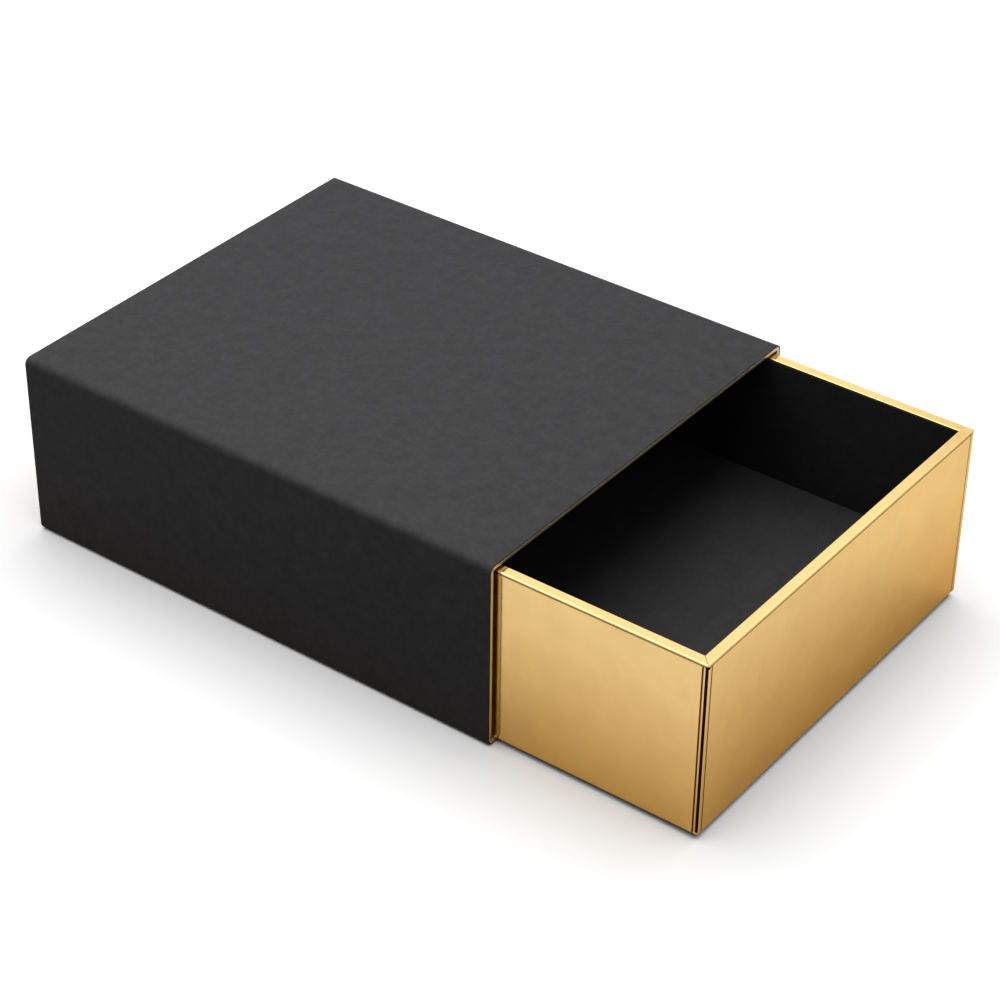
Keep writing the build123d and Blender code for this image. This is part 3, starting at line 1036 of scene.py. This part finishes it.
table_finish = bpy.data.materials.new("pale_table")
table_finish.use_nodes = True
table_tree = table_finish.node_tree
table_tree.nodes.clear()
rays = table_tree.nodes.new("ShaderNodeLightPath")
how_far = between(table_tree, rays.outputs["Ray Length"], 0.0, 1.0, contrast=(0.0, mirror_reach))
mirrored = blend_colours(table_tree, how_far, mirrored_near, mirrored_far)
shown = blend_colours(table_tree, rays.outputs["Is Glossy Ray"], table_seen, mirrored)
seen = seen_directly(table_tree)
paint = table_tree.nodes.new("ShaderNodeBsdfDiffuse")
table_tree.links.new(
    blend_colours(table_tree, seen, table_thrown_back, shown), paint.inputs["Color"]
)
print("the table is mirrored warm up to, in mm:", round(mirror_reach / MM))

# %% [markdown]
# Lamps fall off with distance, so seen from low down a large table would turn grey towards
# the horizon. From about half a metre out it fades into a plain white glow instead, which
# only rays that see it directly can find, so it doesn't light the box's matt papers.

# %% The table fades into a white backdrop
backdrop_from, backdrop_whole = 0.45, 0.9
place_on_table = table_tree.nodes.new("ShaderNodeTexCoord").outputs["Object"]
from_box = table_tree.nodes.new("ShaderNodeVectorMath")
from_box.operation = "LENGTH"
table_tree.links.new(place_on_table, from_box.inputs[0])
fade = between(
    table_tree, from_box.outputs["Value"], 0.0, 1.0, contrast=(backdrop_from, backdrop_whole)
)
white = table_tree.nodes.new("ShaderNodeEmission")
mixed = table_tree.nodes.new("ShaderNodeMixShader")
table_out = table_tree.nodes.new("ShaderNodeOutputMaterial")
table_tree.links.new(combine(table_tree, "MULTIPLY", fade, seen), mixed.inputs["Fac"])
table_tree.links.new(paint.outputs["BSDF"], mixed.inputs[1])
table_tree.links.new(white.outputs["Emission"], mixed.inputs[2])
table_tree.links.new(mixed.outputs["Shader"], table_out.inputs["Surface"])
print("the backdrop starts and is whole at, in metres:", backdrop_from, backdrop_whole)

# %% [markdown]
# The table itself is one large square, a hair under the box, so that the two undersides
# never share a plane.

# %% The table top
table_half = 4.0
table_drop = 0.05 * MM
table_mesh = bpy.data.meshes.new("table_mesh")
corners = [(-1, -1), (1, -1), (1, 1), (-1, 1)]
table_mesh.from_pydata(
    [(x * table_half, y * table_half, -table_drop) for x, y in corners], [], [(0, 1, 2, 3)]
)
table_mesh.materials.append(table_finish)
table = bpy.data.objects.new("table", table_mesh)
bpy.context.scene.collection.objects.link(table)
print("table, metres across:", 2 * table_half)

# %% [markdown]
# ### The room
# The world is a dim even light, a little brighter from above. Rays that see it directly see
# pure white, so the background is white and the gold mirrors a white room, but the black
# card isn't washed out by it.

# %% A dim world that looks white
horizon_light = 0.08
zenith_light = 0.12
world = bpy.data.worlds.new("studio")
bpy.context.scene.world = world
world.use_nodes = True
sky = world.node_tree
surround = sky.nodes["Background"]
surround.inputs["Color"].default_value = (1, 1, 1, 1)
direction = sky.nodes.new("ShaderNodeTexCoord")
height_of_ray = sky.nodes.new("ShaderNodeSeparateXYZ")
sky.links.new(direction.outputs["Generated"], height_of_ray.inputs["Vector"])
level = between(sky, height_of_ray.outputs["Z"], horizon_light, zenith_light, contrast=(0.0, 1.0))
shown_white = sky.nodes.new("ShaderNodeMix")
shown_white.inputs["B"].default_value = 1.0
sky.links.new(seen_directly(sky), shown_white.inputs["Factor"])
sky.links.new(level, shown_white.inputs["A"])
sky.links.new(shown_white.outputs["Result"], surround.inputs["Strength"])
print("world light from the side and from above:", horizon_light, zenith_light)

# %% [markdown]
# ### The lamps
# One large softbox hangs over the table and lights nothing else. Light linking does that:
# each lamp has a group with the table in it, marked to be lit or to be left out. So the soft
# shadow can be set without touching the box. The box has three lamps. The key hangs above and
# a little behind, so the box's sides and the front end of its inside stay dark. A small one
# draws the fine bright line along the front's rim, and a cool one makes the rim's flat pale.

# %% Hang the lamps
lamp_aim = Vector((0, -0.04, 0.03))
white_light = (1, 1, 1)
cool_light = (0.62, 0.75, 1.0)


def hang_softbox(name, place, size, watts, colour=white_light, table="EXCLUDE"):
    """A square area lamp that faces the box. It lights all but the table, or the table only."""
    lamp = bpy.data.lights.new(name, "AREA")
    lamp.shape = "SQUARE"
    lamp.size = size
    lamp.energy = watts
    lamp.color = colour
    holder = bpy.data.objects.new(name, lamp)
    bpy.context.scene.collection.objects.link(holder)
    holder.location = place
    holder.rotation_mode = "QUATERNION"
    holder.rotation_quaternion = (lamp_aim - Vector(place)).to_track_quat("-Z", "Y")
    group = bpy.data.collections.new(name + "_group")
    group.objects.link(bpy.data.objects["table"])
    group.collection_objects[0].light_linking.link_state = table
    holder.light_linking.receiver_collection = group
    print(name, "hangs", round((lamp_aim - Vector(place)).length, 2), "m away, watts:", watts)


hang_softbox("table_softbox", (0.04, -0.01, 1.2), size=2.0, watts=23.5, table="INCLUDE")
hang_softbox("key_softbox", (-0.07, 0.34, 1.22), size=1.8, watts=22)
hang_softbox("edge_softbox", (1.15, 0.1, 1.3), size=0.5, watts=1.6)
hang_softbox("rim_softbox", (0.99, 0.73, 0.85), size=0.8, watts=1.0, colour=cool_light)
bpy.context.scene.view_settings.view_transform = "Standard"
